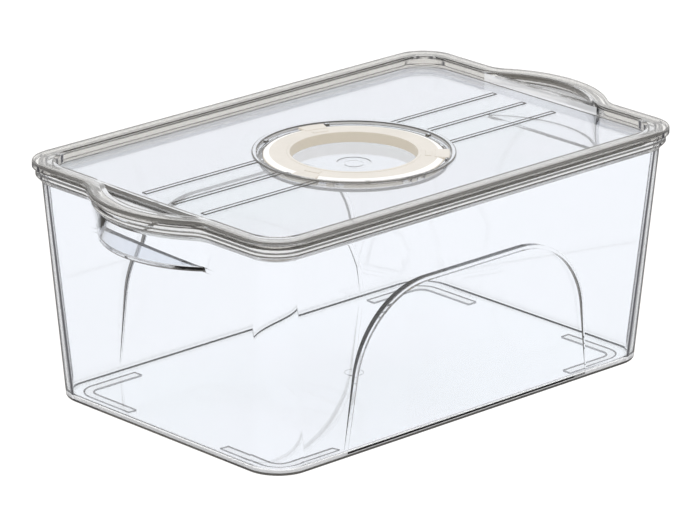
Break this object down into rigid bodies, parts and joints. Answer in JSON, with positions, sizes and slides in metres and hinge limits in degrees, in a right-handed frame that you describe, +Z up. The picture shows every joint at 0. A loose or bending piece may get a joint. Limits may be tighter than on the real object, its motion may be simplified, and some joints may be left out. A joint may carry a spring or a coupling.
{
  "type": "fridge bin",
  "caption": "Clear tapered storage bin with a lift-off lid, a finger bulge at each end and a turning vent dial set in a round well in the lid.",
  "frame": {"origin": "on the table, under the middle of the bin", "axes": "+Z up, +X along the bin from one finger bulge to the other, +Y across it"},
  "size_m": [0.3556, 0.2136, 0.1421],
  "materials": {
    "clear_plastic": "clear, polished",
    "cream_plastic": "opaque cream, fine satin"
  },
  "bodies": {
    "tub": {"tub": "clear_plastic"},
    "lid": {"lid": "clear_plastic"},
    "vent_dial": {"vent_dial": "cream_plastic"}
  },
  "joints": [
    {"name": "lid_lift", "type": "slide", "parent": "tub", "child": "lid", "axis": [0, 0, 1], "range_m": [0, 0.15]},
    {"name": "dial_turn", "type": "hinge", "parent": "lid", "child": "vent_dial", "pos_m": [0, 0, 0.133], "axis": [0, 0, 1], "range_deg": [0, 30]}
  ]
}
